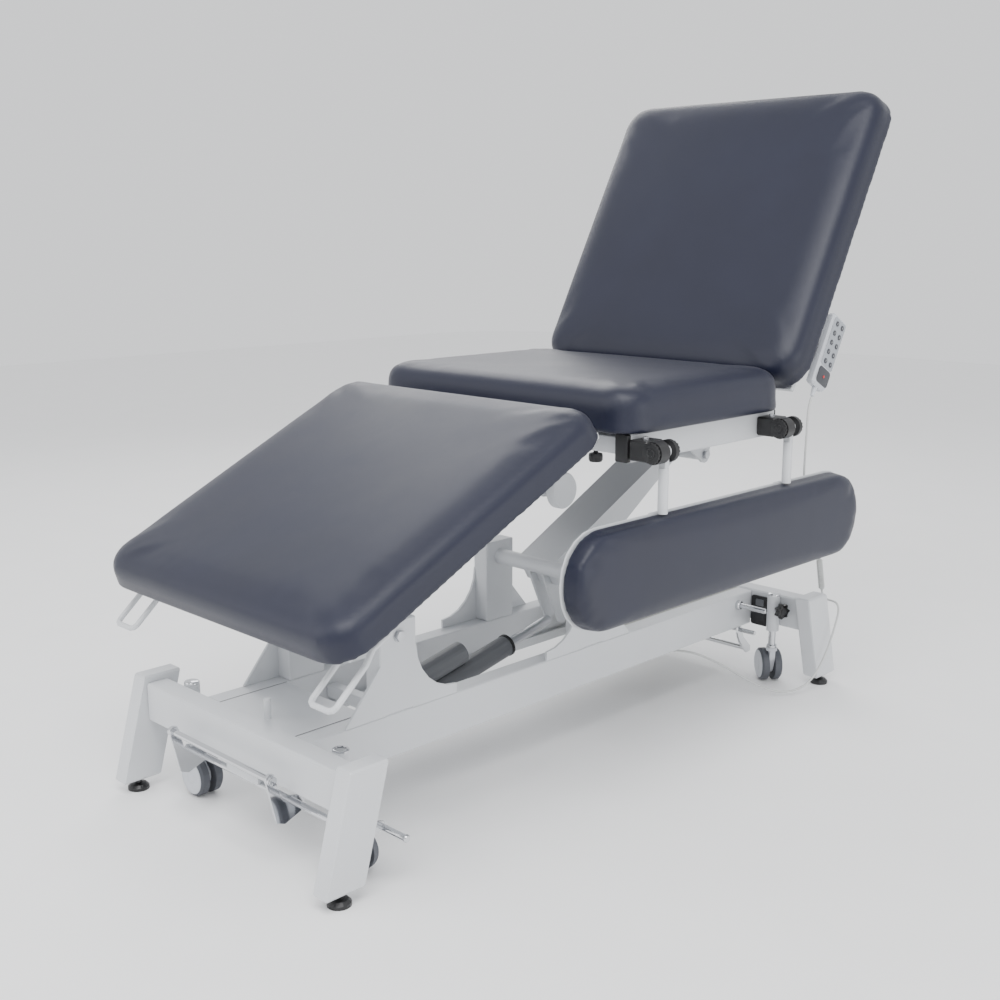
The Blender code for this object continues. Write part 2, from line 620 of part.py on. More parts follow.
def side_rail():
    """Clamps on the seat rail, and the posts and pad that swing up between them."""
    clamps = []
    posts = []
    axis = (SIDE_AXIS_Y, SIDE_AXIS_Z)
    for label, x in zip(("front", "rear"), SIDE_POST_X):
        block = box_mesh((x - 0.034, -0.3715, 0.626), (x + 0.017, -SEAT_RAIL_Y[1] - GAP, 0.664), 0.003)
        left = rod_mesh((x - 0.034, *axis), (x - 0.0085, *axis), 0.021, 28)
        right = rod_mesh((x + 0.0085, *axis), (x + 0.017, *axis), 0.021, 28)
        clamps.append(combined(f"side_clamp_{label}", BLACK, [block, left, right]))
        eye = rod_mesh((x - 0.0075, *axis), (x + 0.0075, *axis), 0.0115, 20)
        strip = box_mesh((x - 0.0060, axis[0] - 0.008, 0.600), (x + 0.0060, axis[0] + 0.008, 0.640), 0.001)
        bar = rod_mesh((x, axis[0], 0.615), (x, axis[0], SIDE_PAD_Z[1] + GAP), 0.0095, 20)
        posts.append(combined(f"side_post_{label}", WHITE, [bar, strip, eye]))
    x0, x1 = SIDE_PAD_X
    z0, z1 = SIDE_PAD_Z
    radius = (z1 - z0) / 2 * 0.94
    outline = []
    for cx, cz, start in ((x1 - radius, z1 - radius, 0), (x0 + radius, z1 - radius, 90),
                          (x0 + radius, z0 + radius, 180), (x1 - radius, z0 + radius, 270)):
        outline += circle((cx, cz), radius, start, start + 90, 6)
    mesh = plate_mesh(outline, *SIDE_PAD_Y)
    pad = add("side_pad", mesh, VINYL, centred(mesh))
    rounding = pad.modifiers.new("edges", "BEVEL")
    rounding.width = 0.014
    rounding.segments = 2
    hang(pivot("side_rail_axis", (0, *axis)), pad, *posts)
    return clamps


# ---------------------------------------------------------------- back section
def back_section():
    """Board, rails and hinge ears; cushion; actuator lug; handset and its hook."""
    x0, x1 = BACK_X
    z0, z1 = BACK_BOARD_Z
    solids = [box_mesh((x0 + 0.006, -BOARD_HALF_WIDTH, z0), (x1 - 0.037, BOARD_HALF_WIDTH, z1), 0.001)]
    ear = circle(BACK_HINGE, 0.011, 0, 290, 10) + [(0.520, 0.650), (0.560, 0.650), (0.560, 0.676), (0.512, 0.676)]
    for sign in (-1, 1):
        solids.append(box_mesh((x0 + 0.03, *sorted((sign * 0.220, sign * 0.250))[:1], 0.644),
                               (x1 - 0.10, *sorted((sign * 0.220, sign * 0.250))[1:], z0 + 0.001), 0.001))
        solids.append(plate_mesh(ear, *sorted((sign * 0.206, sign * 0.214))))
        solids.append(box_mesh((0.530, *sorted((sign * 0.206, sign * 0.222))[:1], 0.650),
                               (0.560, *sorted((sign * 0.206, sign * 0.222))[1:], 0.674), 0.0005))
    solids.append(box_mesh((0.620, -0.225, 0.650), (0.648, 0.225, z0 + 0.001), 0.001))
    lug_tip = turned_flat(BACK_ACTUATOR_TIP, BACK_HINGE, -BACK_ANGLE)
    lug = [(0.530, z0 + 0.0005), (lug_tip[0] - 0.012, lug_tip[1] + 0.004)]
    lug += circle(lug_tip, 0.012, 200, 350, 5) + [(0.600, z0 + 0.0005)]
    for y in (BACK_ACTUATOR_Y - 0.017, BACK_ACTUATOR_Y + 0.012):
        solids.append(plate_mesh(lug, y, y + 0.005))
    support = combined("back_support", WHITE, solids)
    mesh = cushion_mesh((x0, -HALF_WIDTH, z1 + GAP), (x1, HALF_WIDTH, z1 + GAP + BACK_THICKNESS),
                        CORNER_RADIUS, EDGE_RADIUS)
    cushion = add("back_cushion", mesh, VINYL, centred(mesh))
    hook = combined("handset_hook", BLACK, [
        box_mesh((0.605, -0.3235, 0.654), (0.637, -0.2503, 0.666), 0.001),
        box_mesh((0.605, -0.3235, 0.614), (0.637, -0.3190, 0.664), 0.0005)])
    handset = combined("handset", LIGHT_PLASTIC, [
        box_mesh((0.546, -0.3465, 0.599), (0.709, -0.3238, 0.657), 0.006),
        rod_mesh((0.550, -0.335, 0.628), (0.526, -0.335, 0.628), 0.0065, 16, 0.0038)])
    axis = pivot("back_axis", (BACK_HINGE[0], 0, BACK_HINGE[1]))
    hang(axis, support, cushion, hook, handset)
    axis.rotation_euler.y = -math.radians(BACK_ANGLE)


def turned_flat(point, centre, degrees):
    """A point in the XZ plane turned clockwise about a centre; negative turns the other way back."""
    angle = math.radians(degrees)
    dx, dz = point[0] - centre[0], point[1] - centre[1]
    return (centre[0] + dx * math.cos(angle) - dz * math.sin(angle),
            centre[1] + dx * math.sin(angle) + dz * math.cos(angle))


def back_actuator():
    """Slim actuator between the seat frame and the back section's lug."""
    y = BACK_ACTUATOR_Y
    start = Vector((BACK_ACTUATOR_FOOT[0], y, BACK_ACTUATOR_FOOT[1]))
    tip = Vector((BACK_ACTUATOR_TIP[0], y, BACK_ACTUATOR_TIP[1]))
    along = (tip - start).normalized()
    tube = combined("back_actuator", ACTUATOR_GREY,
                    [rod_mesh(start + along * 0.03, start + along * 0.30, 0.0155, 20),
                     rod_mesh(start - along * 0.010, start + along * 0.04, 0.0100, 16)],
                    [rod_mesh(start + along * 0.10, start + along * 0.32, 0.0085, 16)])
    hang(pivot("back_actuator_axis", start), tube)
    rod = rod_mesh(start + along * 0.235, tip - along * 0.020, 0.0075, 16)
    rod = add("back_actuator_rod", rod, STEEL, centred(rod))
    hang(pivot("back_rod_axis", tip), rod)


# ---------------------------------------------------------------- leg section
def leg_section():
    """Board, rails and hinge ears; cushion; two wire strap loops at the foot end."""
    x0, x1 = LEG_X
    z0, z1 = LEG_BOARD_Z
    solids = [box_mesh((x0 + 0.037, -BOARD_HALF_WIDTH, z0), (x1 - 0.006, BOARD_HALF_WIDTH, z1), 0.001)]
    ear = [(-0.150, 0.684), (-0.150, 0.654), (-0.110, 0.654)] + circle(LEG_HINGE, 0.010, 230, 430, 6)
    ear += [(-0.108, 0.684)]
    for sign in (-1, 1):
        rail_y = sorted((sign * 0.220, sign * 0.250))
        ear_y = sorted((sign * 0.206, sign * 0.214))
        solids.append(box_mesh((x0 + 0.10, rail_y[0], 0.654), (x1 - 0.02, rail_y[1], z0 + 0.001), 0.001))
        solids.append(plate_mesh(ear, *ear_y))
        solids.append(box_mesh((-0.150, *sorted((sign * 0.206, sign * 0.222))[:1], 0.656),
                               (-0.120, *sorted((sign * 0.206, sign * 0.222))[1:], 0.6845), 0.0005))
    support = combined("leg_support", WHITE, solids)
    mesh = cushion_mesh((x0, -HALF_WIDTH, z1 + GAP), (x1, HALF_WIDTH, z1 + GAP + LEG_CUSHION_THICKNESS),
                        CORNER_RADIUS, EDGE_RADIUS)
    cushion = add("leg_cushion", mesh, VINYL, centred(mesh))
    axis = pivot("leg_axis", (LEG_HINGE[0], 0, LEG_HINGE[1]))
    hang(axis, support, cushion)
    for side, sign in SIDES:
        y0, y1 = (sign * STRAP_LOOP_Y[0], sign * STRAP_LOOP_Y[1])
        radius = 0.0052
        top = z0 - radius - GAP
        bend = 0.010 * (1 if y1 > y0 else -1)
        path = [(-0.660, y0, top), (-0.700, y0, top - 0.002), (-0.722, y0, top - 0.016), (-0.797, y0, 0.640),
                (-0.8035, y0 + bend * 0.3, 0.6385), (-0.807, y0 + bend, 0.638), (-0.807, y1 - bend, 0.638),
                (-0.8035, y1 - bend * 0.3, 0.6385), (-0.797, y1, 0.640), (-0.722, y1, top - 0.016),
                (-0.700, y1, top - 0.002), (-0.660, y1, top)]
        mesh = tube_mesh(path, radius, 3)
        loop = add(f"{side}_strap_loop", mesh, WHITE, centred(mesh))
        hang(axis, loop)
    axis.rotation_euler.y = -math.radians(LEG_ANGLE)


# ---------------------------------------------------------------- handset cord
HANDSET_CORD = [
    (0.5630, -0.335, 0.6868), (0.5590, -0.335, 0.6790), (0.5540, -0.335, 0.6650), (0.5515, -0.335, 0.6450),
    (0.5510, -0.335, 0.6200), (0.5515, -0.334, 0.5900), (0.5535, -0.332, 0.5600), (0.5580, -0.329, 0.5250),
    (0.5660, -0.326, 0.4880), (0.5780, -0.322, 0.4520), (0.5950, -0.317, 0.4180), (0.6180, -0.311, 0.3870),
    (0.6450, -0.304, 0.3600), (0.6720, -0.297, 0.3400), (0.7000, -0.289, 0.3260), (0.7250, -0.280, 0.3130),
    (0.7350, -0.274, 0.3010), (0.7385, -0.271, 0.2900),
]
COIL_ENDS = ((0.7388, -0.2708, 0.2880), (0.7620, -0.2690, 0.2060))
BASE_CABLE = [
    (0.7621, -0.2690, 0.2055), (0.7648, -0.2695, 0.1960), (0.7650, -0.2760, 0.1880), (0.7600, -0.2900, 0.1860),
    (0.7520, -0.3060, 0.1880), (0.7420, -0.3210, 0.1880), (0.7310, -0.3320, 0.1820), (0.7190, -0.3385, 0.1690),
    (0.7060, -0.3405, 0.1480), (0.6930, -0.3405, 0.1220), (0.6790, -0.3390, 0.0950), (0.6640, -0.3360, 0.0690),
    (0.6450, -0.3320, 0.0450), (0.6220, -0.3260, 0.0260), (0.5980, -0.3150, 0.0150), (0.5740, -0.3000, 0.0110),
    (0.5520, -0.2810, 0.0140), (0.5320, -0.2560, 0.0250), (0.5120, -0.2270, 0.0420), (0.4920, -0.1980, 0.0610),
    (0.4690, -0.1690, 0.0800), (0.4440, -0.1400, 0.0950), (0.4200, -0.1150, 0.1010), (0.4050, -0.1010, 0.1020),
    (0.3990, -0.0955, 0.1050), (0.3980, -0.0950, 0.1100),
]


def cords():
    """A straight lead from the handset, a coiled stretch, and the lead to the control box."""
    for name, route in (("handset_cord", HANDSET_CORD), ("base_cable", BASE_CABLE)):
        mesh = tube_mesh(smooth_route(route, 0.014), CORD_RADIUS, 2)
        add(name, mesh, CORD_GREY, centred(mesh))
    mesh = rod_mesh(*COIL_ENDS, COIL_RADIUS, 16)
    add("coiled_cord", mesh, CORD_GREY, centred(mesh))


rails()
crossbeams()
legs()
brackets()
covers()
control_box()
actuator_crossbar()
castors()
pedals()
lift_arm()
second_link()
lift_actuator()
seat_frame()
seat_cushion()
side_rail()
back_section()
back_actuator()
leg_section()
cords()

# Everything hangs on one empty, moved so that the origin is the middle of the outer box
origin = pivot("exam_table_origin", (0, 0, 0))
hang(origin, *[item for item in bpy.data.objects if item.parent is None and item is not origin])
origin.location = (-BOX_MIDDLE[0], -BOX_MIDDLE[1], 0)
bpy.context.view_layer.update()
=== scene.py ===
"""Looks of the examination table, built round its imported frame.

Metres, +Z up, +X towards the head end. The frame's solids keep their places and get finished
materials; upholstery, cords, fasteners, knobs and the keypad are modelled here.
"""

import json
import math

import bmesh
import bpy
from mathutils import Matrix, Vector


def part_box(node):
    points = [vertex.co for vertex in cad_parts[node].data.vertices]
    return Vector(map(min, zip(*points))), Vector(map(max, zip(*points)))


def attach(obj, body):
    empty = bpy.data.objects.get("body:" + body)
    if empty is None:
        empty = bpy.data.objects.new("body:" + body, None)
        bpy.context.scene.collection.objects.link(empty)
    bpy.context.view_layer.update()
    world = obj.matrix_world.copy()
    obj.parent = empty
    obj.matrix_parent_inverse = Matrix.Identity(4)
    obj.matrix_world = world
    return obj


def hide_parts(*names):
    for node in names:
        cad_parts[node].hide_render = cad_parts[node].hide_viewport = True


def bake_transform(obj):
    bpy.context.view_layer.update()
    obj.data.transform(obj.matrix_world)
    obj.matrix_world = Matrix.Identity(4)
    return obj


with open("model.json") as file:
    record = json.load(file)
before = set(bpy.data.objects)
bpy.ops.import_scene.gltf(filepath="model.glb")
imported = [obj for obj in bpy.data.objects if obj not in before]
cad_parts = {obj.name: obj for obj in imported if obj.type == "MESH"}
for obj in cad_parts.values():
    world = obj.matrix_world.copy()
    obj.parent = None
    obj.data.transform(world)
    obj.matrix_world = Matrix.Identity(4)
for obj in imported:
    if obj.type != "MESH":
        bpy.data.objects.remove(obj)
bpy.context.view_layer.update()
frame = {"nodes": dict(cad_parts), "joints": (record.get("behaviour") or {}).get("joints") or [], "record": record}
NODES = frame["nodes"]
JOINTS = {joint["name"]: joint for joint in frame["joints"]}

# The frame's origin is the middle of its outer box; the places below count from the base's middle
SHIFT = Vector((-0.04583, 0.02750, 0.0))
BACK_LEAN = math.radians(61.5)
LEG_SLOPE = math.radians(25.9)
TOUCH = 0.0003
SIDES = (("near", -1), ("far", 1))
ENDS = (("foot", -1), ("head", 1))


def at(x, y, z):
    """A point counted from the base's middle, in the frame."""
    return Vector((x, y, z)) + SHIFT


BACK_HINGE = Matrix.Translation(Vector(JOINTS["back_recline"]["pos_m"]))
BACK_TURN = BACK_HINGE @ Matrix.Rotation(-BACK_LEAN, 4, "Y") @ BACK_HINGE.inverted()
ACROSS = Matrix.Rotation(math.radians(-90), 4, "Y")


# ---------------------------------------------------------------- materials
def finish(name, colour, roughness, metallic=0.0, grain=(300.0, 0.05), uneven=0.08, coat=0.0,
           specular=0.5):
    """Principled material with a fine surface grain, uneven roughness and a slight colour drift."""
    made = bpy.data.materials.new(name)
    made.use_nodes = True
    tree = made.node_tree
    nodes, links = tree.nodes, tree.links
    shader = nodes["Principled BSDF"]
    shader.inputs["Metallic"].default_value = metallic
    shader.inputs["Coat Weight"].default_value = coat
    shader.inputs["Coat Roughness"].default_value = 0.15
    shader.inputs["Specular IOR Level"].default_value = specular
    where = nodes.new("ShaderNodeTexCoord")
    drift = nodes.new("ShaderNodeTexNoise")
    drift.inputs["Scale"].default_value = 6.0
    drift.inputs["Detail"].default_value = 4.0
    links.new(where.outputs["Object"], drift.inputs["Vector"])
    tint = nodes.new("ShaderNodeValToRGB")
    tint.color_ramp.elements[0].position = 0.3
    tint.color_ramp.elements[1].position = 0.7
    tint.color_ramp.elements[0].color = (*[c * (1 - uneven) for c in colour], 1)
    tint.color_ramp.elements[1].color = (*[min(1.0, c * (1 + uneven * 0.6)) for c in colour], 1)
    links.new(drift.outputs["Fac"], tint.inputs["Fac"])
    links.new(tint.outputs["Color"], shader.inputs["Base Color"])
    rough = nodes.new("ShaderNodeMapRange")
    rough.inputs["To Min"].default_value = max(0.02, roughness * 0.85)
    rough.inputs["To Max"].default_value = min(1.0, roughness * 1.15)
    links.new(drift.outputs["Fac"], rough.inputs["Value"])
    links.new(rough.outputs["Result"], shader.inputs["Roughness"])
    fine = nodes.new("ShaderNodeTexNoise")
    fine.inputs["Scale"].default_value = grain[0]
    fine.inputs["Detail"].default_value = 3.0
    links.new(where.outputs["Object"], fine.inputs["Vector"])
    bump = nodes.new("ShaderNodeBump")
    bump.inputs["Strength"].default_value = grain[1]
    bump.inputs["Distance"].default_value = 0.0006
    links.new(fine.outputs["Fac"], bump.inputs["Height"])
    links.new(bump.outputs["Normal"], shader.inputs["Normal"])
    return made


def vinyl_finish():
    """Upholstery vinyl: leather-like cells, a few soft creases and a low sheen."""
    made = finish("upholstery_vinyl", (0.0085, 0.0105, 0.0260), 0.40, uneven=0.10, specular=0.42)
    tree = made.node_tree
    nodes, links = tree.nodes, tree.links
    shader = nodes["Principled BSDF"]
    shader.inputs["Sheen Weight"].default_value = 0.05
    shader.inputs["Sheen Roughness"].default_value = 0.4
    where = next(n for n in nodes if n.bl_idname == "ShaderNodeTexCoord")
    cells = nodes.new("ShaderNodeTexVoronoi")
    cells.feature = "DISTANCE_TO_EDGE"
    cells.inputs["Scale"].default_value = 620.0
    links.new(where.outputs["Object"], cells.inputs["Vector"])
    edge = nodes.new("ShaderNodeMapRange")
    edge.inputs["From Max"].default_value = 0.25
    links.new(cells.outputs["Distance"], edge.inputs["Value"])
    cell_bump = nodes.new("ShaderNodeBump")
    cell_bump.inputs["Strength"].default_value = 0.22
    cell_bump.inputs["Distance"].default_value = 0.0004
    links.new(edge.outputs["Result"], cell_bump.inputs["Height"])
    crease = nodes.new("ShaderNodeTexNoise")
    crease.inputs["Scale"].default_value = 9.0
    crease.inputs["Detail"].default_value = 2.0
    links.new(where.outputs["Object"], crease.inputs["Vector"])
    soft = nodes.new("ShaderNodeBump")
    soft.inputs["Strength"].default_value = 0.16
    soft.inputs["Distance"].default_value = 0.006
    links.new(crease.outputs["Fac"], soft.inputs["Height"])
    links.new(soft.outputs["Normal"], cell_bump.inputs["Normal"])
    links.new(cell_bump.outputs["Normal"], shader.inputs["Normal"])
    return made


WHITE = finish("powder_coat", (0.60, 0.615, 0.635), 0.34, grain=(420.0, 0.10), uneven=0.03)
CREAM = finish("cover_paint", (0.60, 0.60, 0.55), 0.42, grain=(420.0, 0.10), uneven=0.03)
CHROME = finish("chrome_plate", (0.62, 0.63, 0.65), 0.09, 1.0, grain=(160.0, 0.02), uneven=0.04)
STEEL = finish("zinc_steel", (0.55, 0.56, 0.58), 0.30, 1.0, grain=(500.0, 0.12), uneven=0.08)
BLACK = finish("black_nylon", (0.012, 0.012, 0.013), 0.38, grain=(700.0, 0.20), uneven=0.15)
RUBBER = finish("grey_tread", (0.085, 0.090, 0.105), 0.62, grain=(600.0, 0.25), uneven=0.12)
DISC = finish("castor_disc", (0.58, 0.60, 0.64), 0.42, grain=(500.0, 0.12), uneven=0.05)
HANDSET = finish("handset_shell", (0.50, 0.515, 0.53), 0.42, grain=(800.0, 0.15), uneven=0.04)
KEYPAD = finish("keypad_film", (0.33, 0.35, 0.38), 0.35, grain=(900.0, 0.08), uneven=0.04)
DARK_FILM = finish("keypad_dark", (0.045, 0.047, 0.055), 0.35, grain=(900.0, 0.08), uneven=0.06)
RED = finish("indicator_red", (0.55, 0.02, 0.02), 0.25, grain=(900.0, 0.03), uneven=0.05, coat=0.5)
GREY = finish("actuator_housing", (0.115, 0.120, 0.130), 0.48, grain=(700.0, 0.20), uneven=0.08)
SHEATH = finish("cable_sheath", (0.56, 0.57, 0.56), 0.42, grain=(900.0, 0.10), uneven=0.05)
# Near-black matte: used on the star knob's centre and the socket inset, and as painted shade in the gaps between
# the covers
DARK_AND_GAP_SHADE = finish("dark_matte_and_painted_gap_shade", (0.02, 0.02, 0.022), 0.60, grain=(300.0, 0.10), uneven=0.10)
VINYL = vinyl_finish()


def coat_frame_nodes():
    """Every solid of the frame that stays visible gets its finished material."""
    by_slot = {"white_powder_coat": WHITE, "chrome": CHROME, "zinc_steel": STEEL, "black_plastic": BLACK,
               "wheel_grey": RUBBER, "light_plastic": DISC, "actuator_grey": GREY, "cord_grey": SHEATH,
               "navy_vinyl": VINYL}
    for entry in frame["record"]["subparts"]:
        node = NODES[entry["node"]]
        node.data.materials.clear()
        node.data.materials.append(by_slot[entry["material_slot"]])
    NODES["head_cover"].data.materials[0] = CREAM


# ---------------------------------------------------------------- mesh helpers
def add(name, mesh, coat, body, smooth=40.0):
    """Link a mesh as a piece that rides on a body."""
    mesh.materials.clear()
    mesh.materials.append(coat)
    mesh.shade_smooth()
    mesh.set_sharp_from_angle(angle=math.radians(smooth))
    piece = bpy.data.objects.new(name, mesh)
    bpy.context.scene.collection.objects.link(piece)
    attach(piece, body)
    return piece


def facing(direction):
    """Rotation that carries +Z onto a direction."""
    return Vector(direction).to_track_quat("Z", "Y").to_matrix().to_4x4()


def lathe_mesh(profile, steps=40, closed=False):
    """A solid of revolution about Z from (radius, height) points.

    Both ends lie on the axis, or closed joins the last point to the first, as in a ring.
    """
    shape = bmesh.new()
    rings = []
    for radius, height in profile:
        if radius < 1e-6:
            rings.append([shape.verts.new((0, 0, height))])
            continue
        turn = [2 * math.pi * k / steps for k in range(steps)]
        rings.append([shape.verts.new((radius * math.cos(a), radius * math.sin(a), height)) for a in turn])
    for low, high in zip(rings, rings[1:] + (rings[:1] if closed else [])):
        for k in range(steps):
            after = (k + 1) % steps
            corners = [low[k % len(low)], low[after % len(low)], high[after % len(high)], high[k % len(high)]]
            unique = list(dict.fromkeys(corners))
            if len(unique) > 2:
                shape.faces.new(unique)
    bmesh.ops.recalc_face_normals(shape, faces=shape.faces)
    mesh = bpy.data.meshes.new("lathe")
    shape.to_mesh(mesh)
    shape.free()
    return mesh


def lathe(name, profile, place, direction, coat, body, steps=40, closed=False):
    """A turned piece at a place, its axis along a direction."""
    mesh = lathe_mesh(profile, steps, closed)
    mesh.transform(Matrix.Translation(place) @ facing(direction))
    return add(name, mesh, coat, body)


def prism_mesh(outline, low, high, bevel=0.0, segments=2):
    """An extruded outline in the XY plane, with rounded edges."""
    shape = bmesh.new()
    base = [shape.verts.new((x, y, low)) for x, y in outline]
    face = shape.faces.new(base)
    made = bmesh.ops.extrude_face_region(shape, geom=[face])
    moved = [item for item in made["geom"] if isinstance(item, bmesh.types.BMVert)]
    bmesh.ops.translate(shape, vec=(0, 0, high - low), verts=moved)
    bmesh.ops.recalc_face_normals(shape, faces=shape.faces)
    if bevel:
        rims = [e for e in shape.edges if abs(e.verts[0].co.z - e.verts[1].co.z) < 1e-6]
        bmesh.ops.bevel(shape, geom=rims, offset=bevel, segments=segments, affect="EDGES", profile=0.6)
    mesh = bpy.data.meshes.new("prism")
    shape.to_mesh(mesh)
    shape.free()
    return mesh


def rounded(width, height, radius, steps=5):
    """A rectangle with round corners, about its middle."""
    points = []
    x, y = width / 2 - radius, height / 2 - radius
    for cx, cy, start in ((x, y, 0), (-x, y, 90), (-x, -y, 180), (x, -y, 270)):
        for k in range(steps + 1):
            a = math.radians(start + 90 * k / steps)
            points.append((cx + radius * math.cos(a), cy + radius * math.sin(a)))
    return points


def lobed(radius, swing, lobes, steps):
    """A round outline with evenly spaced lobes."""
    outline = []
    for k in range(lobes * steps):
        a = 2 * math.pi * k / (lobes * steps)
        reach = radius + swing * math.cos(lobes * a)
        outline.append((reach * math.cos(a), reach * math.sin(a)))
    return outline


def tube(name, points, radius, coat, sides=12):
    """A round wire as a mesh, through a list of points."""
    curve = bpy.data.curves.new(name, "CURVE")
    curve.dimensions = "3D"
    curve.bevel_depth = radius
    curve.bevel_resolution = sides // 4
    curve.use_fill_caps = True
    spline = curve.splines.new("POLY")
    spline.points.add(len(points) - 1)
    for point, place in zip(spline.points, points):
        point.co = (*place, 1.0)
    holder = bpy.data.objects.new(name, curve)
    bpy.context.scene.collection.objects.link(holder)
    bpy.context.view_layer.update()
    mesh = bpy.data.meshes.new_from_object(holder.evaluated_get(bpy.context.evaluated_depsgraph_get()))
    bpy.data.objects.remove(holder, do_unlink=True)
    mesh.materials.clear()
    mesh.materials.append(coat)
    mesh.shade_smooth()
    piece = bpy.data.objects.new(name, mesh)
    bpy.context.scene.collection.objects.link(piece)
    return piece


def hex_bolt(name, place, direction, body, size=0.008, height=0.006):
    """A hexagon head on a washer."""
    washer = lathe_mesh([(0, 0), (size * 1.15, 0), (size * 1.15, 0.0014), (0, 0.0014)], 28)
    washer.transform(Matrix.Translation(place) @ facing(direction))
    add(name + "_washer", washer, STEEL, body)
    corners = [math.radians(60 * k) for k in range(6)]
    outline = [(size * math.cos(a), size * math.sin(a)) for a in corners]
    head = prism_mesh(outline, 0.0014, 0.0014 + height, 0.0008)
    head.transform(Matrix.Translation(place) @ facing(direction))
    add(name, head, STEEL, body)


def slab(name, size, place, turn, thickness, coat, body, radius=0.002, bevel=0.0006):
    """A thin plate with round corners: its outline lies across the turned +Z axis."""
    mesh = prism_mesh(rounded(*size, radius), 0.0, thickness, bevel)
    mesh.transform(Matrix.Translation(place) @ turn)
    return add(name, mesh, coat, body)


# ---------------------------------------------------------------- camera, light and floor
def camera():
    data = bpy.data.cameras.new("camera")
    data.lens = 45.95
    data.sensor_width = 36.0
    seer = bpy.data.objects.new("camera", data)
    bpy.context.scene.collection.objects.link(seer)
    seer.location = at(-1.8287, -1.7684, 1.0345)
    seer.rotation_euler = (math.radians(78.06), 0, math.radians(-45.28))
    bpy.context.scene.camera = seer


def area_light(name, place, aim, size, power):
    data = bpy.data.lights.new(name, "AREA")
    data.shape = "RECTANGLE"
    data.size, data.size_y = size
    data.energy = power
    lamp = bpy.data.objects.new(name, data)
    lamp.location = place
    lamp.rotation_mode = "QUATERNION"
    lamp.rotation_quaternion = (Vector(aim) - Vector(place)).to_track_quat("-Z", "Y")
    bpy.context.scene.collection.objects.link(lamp)


def studio():
    mesh = prism_mesh(rounded(16.0, 16.0, 1.0), -0.02, 0.0)
    floor = bpy.data.objects.new("floor", mesh)
    paper = finish("paper_floor", (0.93, 0.93, 0.93), 0.7, grain=(40.0, 0.02), uneven=0.01)
    mesh.materials.append(paper)
    bpy.context.scene.collection.objects.link(floor)
    world = bpy.data.worlds.new("studio")
    world.use_nodes = True
    sky = world.node_tree.nodes["Background"]
    sky.inputs["Color"].default_value = (0.97, 0.98, 1.0, 1)
    sky.inputs["Strength"].default_value = 1.15
    bpy.context.scene.world = world
    area_light("key", (-1.6, -1.2, 3.2), (0.1, 0, 0.6), (2.6, 2.0), 105)
    area_light("fill", (-3.2, 1.4, 1.8), (0, 0, 0.5), (2.0, 2.0), 26)
    area_light("rim", (1.8, 2.4, 2.6), (0.2, 0, 0.8), (2.2, 1.6), 40)
    area_light("low", (0.6, -3.2, 0.9), (0.2, 0, 0.4), (2.4, 1.2), 22)


# ---------------------------------------------------------------- cords
def smooth_route(points, spacing):
    """Evenly spaced points on a smooth curve through the route's own points."""
    knots = [Vector(p) for p in points]
    ends = [knots[0] * 2 - knots[1]] + knots + [knots[-1] * 2 - knots[-2]]
    fine = []
    for a, b, c, d in zip(ends, ends[1:], ends[2:], ends[3:]):
        for k in range(20):
            t = k / 20
            fine.append(0.5 * (2 * b + (c - a) * t + (2 * a - 5 * b + 4 * c - d) * t ** 2
                               + (3 * b - a - 3 * c + d) * t ** 3))
    fine.append(knots[-1])
    lengths = [0.0]
    for a, b in zip(fine, fine[1:]):
        lengths.append(lengths[-1] + (b - a).length)
    count = max(2, round(lengths[-1] / spacing))
    route = []
    index = 0
    for k in range(count + 1):
        want = lengths[-1] * k / count
        while index < len(fine) - 2 and lengths[index + 1] < want:
            index += 1
        share = (want - lengths[index]) / (lengths[index + 1] - lengths[index])
        route.append(fine[index].lerp(fine[index + 1], share))
    return route


UPPER_CORD = [
    (0.5630, -0.335, 0.6868), (0.5590, -0.335, 0.6790), (0.5540, -0.335, 0.6650), (0.5515, -0.335, 0.6450),
    (0.5510, -0.335, 0.6200), (0.5514, -0.334, 0.5918),
]
LOWER_CORD = [
    (0.5514, -0.334, 0.5918), (0.5535, -0.332, 0.5600), (0.5580, -0.329, 0.5250), (0.5660, -0.326, 0.4880),
    (0.5780, -0.322, 0.4520), (0.5950, -0.317, 0.4180), (0.6180, -0.311, 0.3870), (0.6450, -0.304, 0.3600),
    (0.6720, -0.297, 0.3400), (0.7000, -0.289, 0.3260), (0.7250, -0.280, 0.3130), (0.7350, -0.274, 0.3010),
    (0.7385, -0.271, 0.2900),
]
COIL_ENDS = ((0.7388, -0.2708, 0.2880), (0.7620, -0.2690, 0.2060))
BASE_CABLE = [
    (0.7621, -0.2690, 0.2055), (0.7648, -0.2695, 0.1960), (0.7650, -0.2760, 0.1880), (0.7600, -0.2900, 0.1860),
    (0.7520, -0.3060, 0.1880), (0.7420, -0.3210, 0.1880), (0.7310, -0.3320, 0.1820), (0.7190, -0.3385, 0.1690),
    (0.7060, -0.3405, 0.1480), (0.6930, -0.3405, 0.1220), (0.6790, -0.3390, 0.0950), (0.6640, -0.3360, 0.0690),
    (0.6450, -0.3320, 0.0450), (0.6220, -0.3260, 0.0260), (0.5980, -0.3150, 0.0150), (0.5740, -0.3000, 0.0110),
    (0.5520, -0.2810, 0.0140), (0.5320, -0.2560, 0.0250), (0.5120, -0.2270, 0.0420), (0.4920, -0.1980, 0.0610),
    (0.4690, -0.1690, 0.0800), (0.4440, -0.1400, 0.0950), (0.4200, -0.1150, 0.1010), (0.4050, -0.1010, 0.1020),
    (0.3990, -0.0955, 0.1050), (0.3980, -0.0950, 0.1100),
]
CORD_RADIUS = 0.0024
COIL_WIRE = 0.0017
COIL_OUTER = 0.0075
COIL_TURNS = 20


